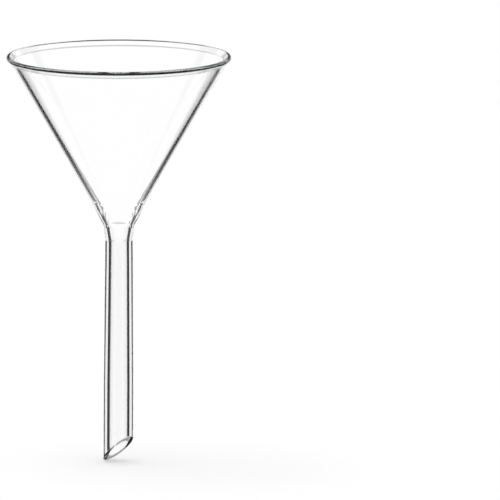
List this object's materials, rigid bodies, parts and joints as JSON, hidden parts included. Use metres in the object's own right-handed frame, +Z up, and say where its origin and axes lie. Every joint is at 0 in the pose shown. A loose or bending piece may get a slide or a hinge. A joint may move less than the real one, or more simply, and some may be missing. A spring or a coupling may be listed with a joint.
{
  "type": "conical laboratory funnel",
  "caption": "Clear glass laboratory funnel: a wide cone with a flared lip on a long stem whose tip is cut at a slant, for filling narrow vessels and holding filter paper.",
  "frame": {"origin": "on the axis at the neck, where the cone meets the stem: the middle of the cone's seat in a ring or a vessel's mouth", "axes": "+Z up along the funnel's axis towards the mouth; the lowest point of the slanted tip is on -X"},
  "size_m": [0.09, 0.09, 0.1644],
  "materials": {
    "clear_glass": "fire-polished, clear"
  },
  "bodies": {
    "root": {"funnel": "clear_glass"}
  },
  "joints": []
}
